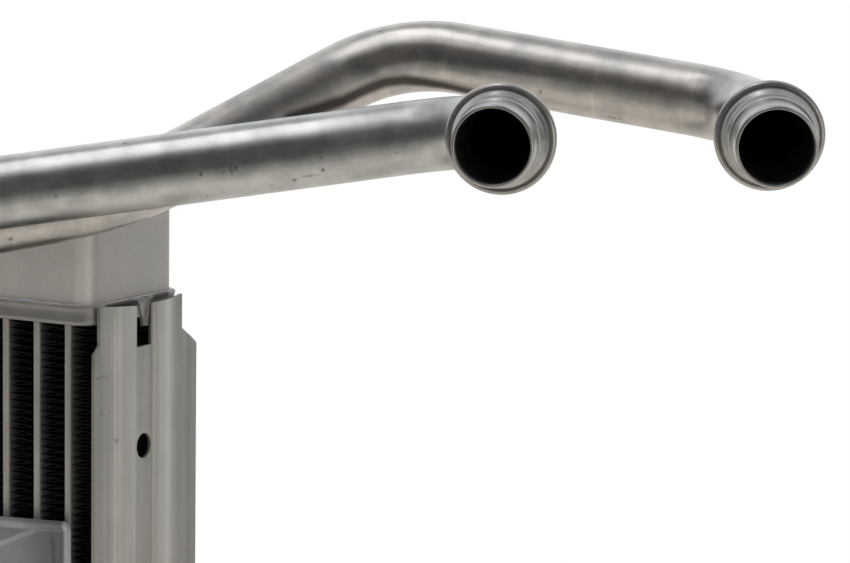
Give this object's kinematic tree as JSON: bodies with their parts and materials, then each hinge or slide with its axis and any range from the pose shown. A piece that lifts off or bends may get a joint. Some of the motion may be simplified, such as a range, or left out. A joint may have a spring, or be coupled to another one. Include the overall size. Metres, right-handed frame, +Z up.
{
  "type": "heater core",
  "caption": "Brazed heater core of flat tubes and folded fins between two tanks, with two bent pipes that end in beaded hose necks.",
  "frame": {"origin": "centre of the flat underside of the bottom tank", "axes": "+X across the core towards the side where the pipes leave, -Y the front face that air meets, +Z up the tubes to the tank with the pipes"},
  "size_m": [0.3191, 0.1115, 0.2616],
  "materials": {
    "flat_tube": "dull brazed",
    "fin": "dark, deep in shadow",
    "header": "satin brazed",
    "tank": "satin, slightly mottled",
    "side_plate": "satin, rolled lengthways",
    "front_pipe": "drawn tube, half bright",
    "rear_pipe": "drawn tube, half bright",
    "bracket": "pressed sheet"
  },
  "bodies": {
    "root": {"flat_tube_01": "flat_tube", "flat_tube_02": "flat_tube", "flat_tube_03": "flat_tube", "flat_tube_04": "flat_tube", "flat_tube_05": "flat_tube", "flat_tube_06": "flat_tube", "flat_tube_07": "flat_tube", "flat_tube_08": "flat_tube", "flat_tube_09": "flat_tube", "flat_tube_10": "flat_tube", "flat_tube_11": "flat_tube", "flat_tube_12": "flat_tube", "flat_tube_13": "flat_tube", "flat_tube_14": "flat_tube", "flat_tube_15": "flat_tube", "flat_tube_16": "flat_tube", "fin_strip_01": "fin", "fin_strip_02": "fin", "fin_strip_03": "fin", "fin_strip_04": "fin", "fin_strip_05": "fin", "fin_strip_06": "fin", "fin_strip_07": "fin", "fin_strip_08": "fin", "fin_strip_09": "fin", "fin_strip_10": "fin", "fin_strip_11": "fin", "fin_strip_12": "fin", "fin_strip_13": "fin", "fin_strip_14": "fin", "fin_strip_15": "fin", "fin_strip_16": "fin", "fin_strip_17": "fin", "top_header": "header", "bottom_header": "header", "top_tank": "tank", "bottom_tank": "tank", "tank_baffle": "tank", "side_plate_right": "side_plate", "side_plate_left": "side_plate", "front_pipe": "front_pipe", "rear_pipe": "rear_pipe", "front_bracket": "bracket"}
  },
  "joints": []
}
